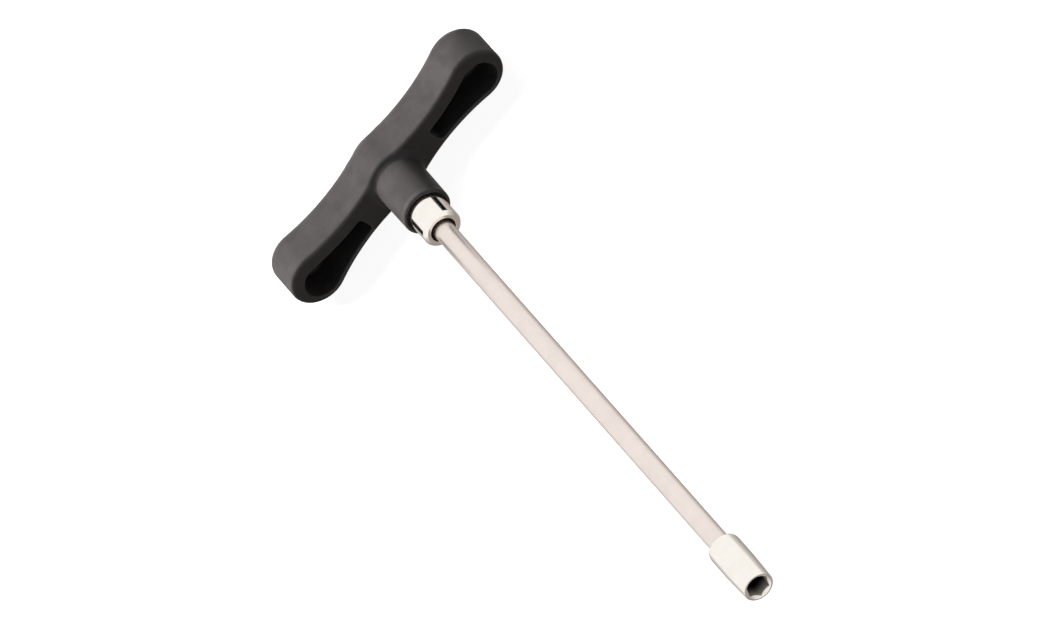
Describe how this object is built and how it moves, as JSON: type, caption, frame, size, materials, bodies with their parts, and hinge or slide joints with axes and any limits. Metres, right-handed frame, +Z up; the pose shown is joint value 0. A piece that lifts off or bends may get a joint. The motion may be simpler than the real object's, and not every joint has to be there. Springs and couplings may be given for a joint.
{
  "type": "t-handle torque wrench",
  "caption": "Moulded T-handle with a preset slip clutch in a plated sleeve, a long straight rod and a hexagon socket for turning screws in deep places.",
  "frame": {"origin": "on the shaft's axis, in the plane of the socket's mouth", "axes": "+Y along the shaft from the socket to the palm face, X along the handle's bar, +Z up as the tool lies on a bench"},
  "size_m": [0.1152, 0.286, 0.0228],
  "materials": {
    "handle_plastic": "fine moulded grain, dark charcoal",
    "cap_plastic": "smooth moulded, near black",
    "bright_plate": "bright nickel plate",
    "satin_nickel": "drawn rod under satin nickel plate",
    "hard_steel": "ground and oiled",
    "spring_steel": "phosphated",
    "black_steel": "black oxide",
    "bronze": "sintered bronze",
    "seal_rubber": "nitrile rubber"
  },
  "bodies": {
    "handle": {"handle": "handle_plastic", "palm_cap": "cap_plastic", "clutch_housing": "bright_plate", "shaft_seal": "seal_rubber", "shaft_bush": "bronze", "tail_bush": "bronze", "lower_race": "hard_steel", "disc_springs": "spring_steel", "spring_cap": "hard_steel", "adjuster_screw": "black_steel", "lock_ring": "black_steel"},
    "shaft": {"shaft": "satin_nickel", "hex_socket": "bright_plate", "cam_ring": "hard_steel", "cam_pin": "hard_steel", "upper_race": "hard_steel"},
    "drive_ring": {"drive_ring": "hard_steel", "spring_seat": "hard_steel"},
    "ball_cage": {"ball_cage": "bronze", "thrust_balls": "hard_steel"}
  },
  "joints": [
    {"name": "shaft_slip", "type": "hinge", "parent": "handle", "child": "shaft", "pos_m": [0, 0, 0], "axis": [0, 1, 0], "range_deg": [0, 26], "stiffness_Nm_per_rad": 0.5, "springref_deg": -57.3},
    {"name": "drive_ring_lift", "type": "slide", "parent": "handle", "child": "drive_ring", "axis": [0, 1, 0], "range_m": [0, 0.0013], "deforming": ["disc_springs"]},
    {"name": "ball_cage_turn", "type": "hinge", "parent": "handle", "child": "ball_cage", "pos_m": [0, 0.248, 0], "axis": [0, 1, 0], "range_deg": [0, 13]}
  ],
  "couplings": [
    {"joint": "drive_ring_lift", "follows": "shaft_slip", "m_per_rad": 0.0028648},
    {"joint": "ball_cage_turn", "follows": "shaft_slip", "ratio": 0.5}
  ]
}
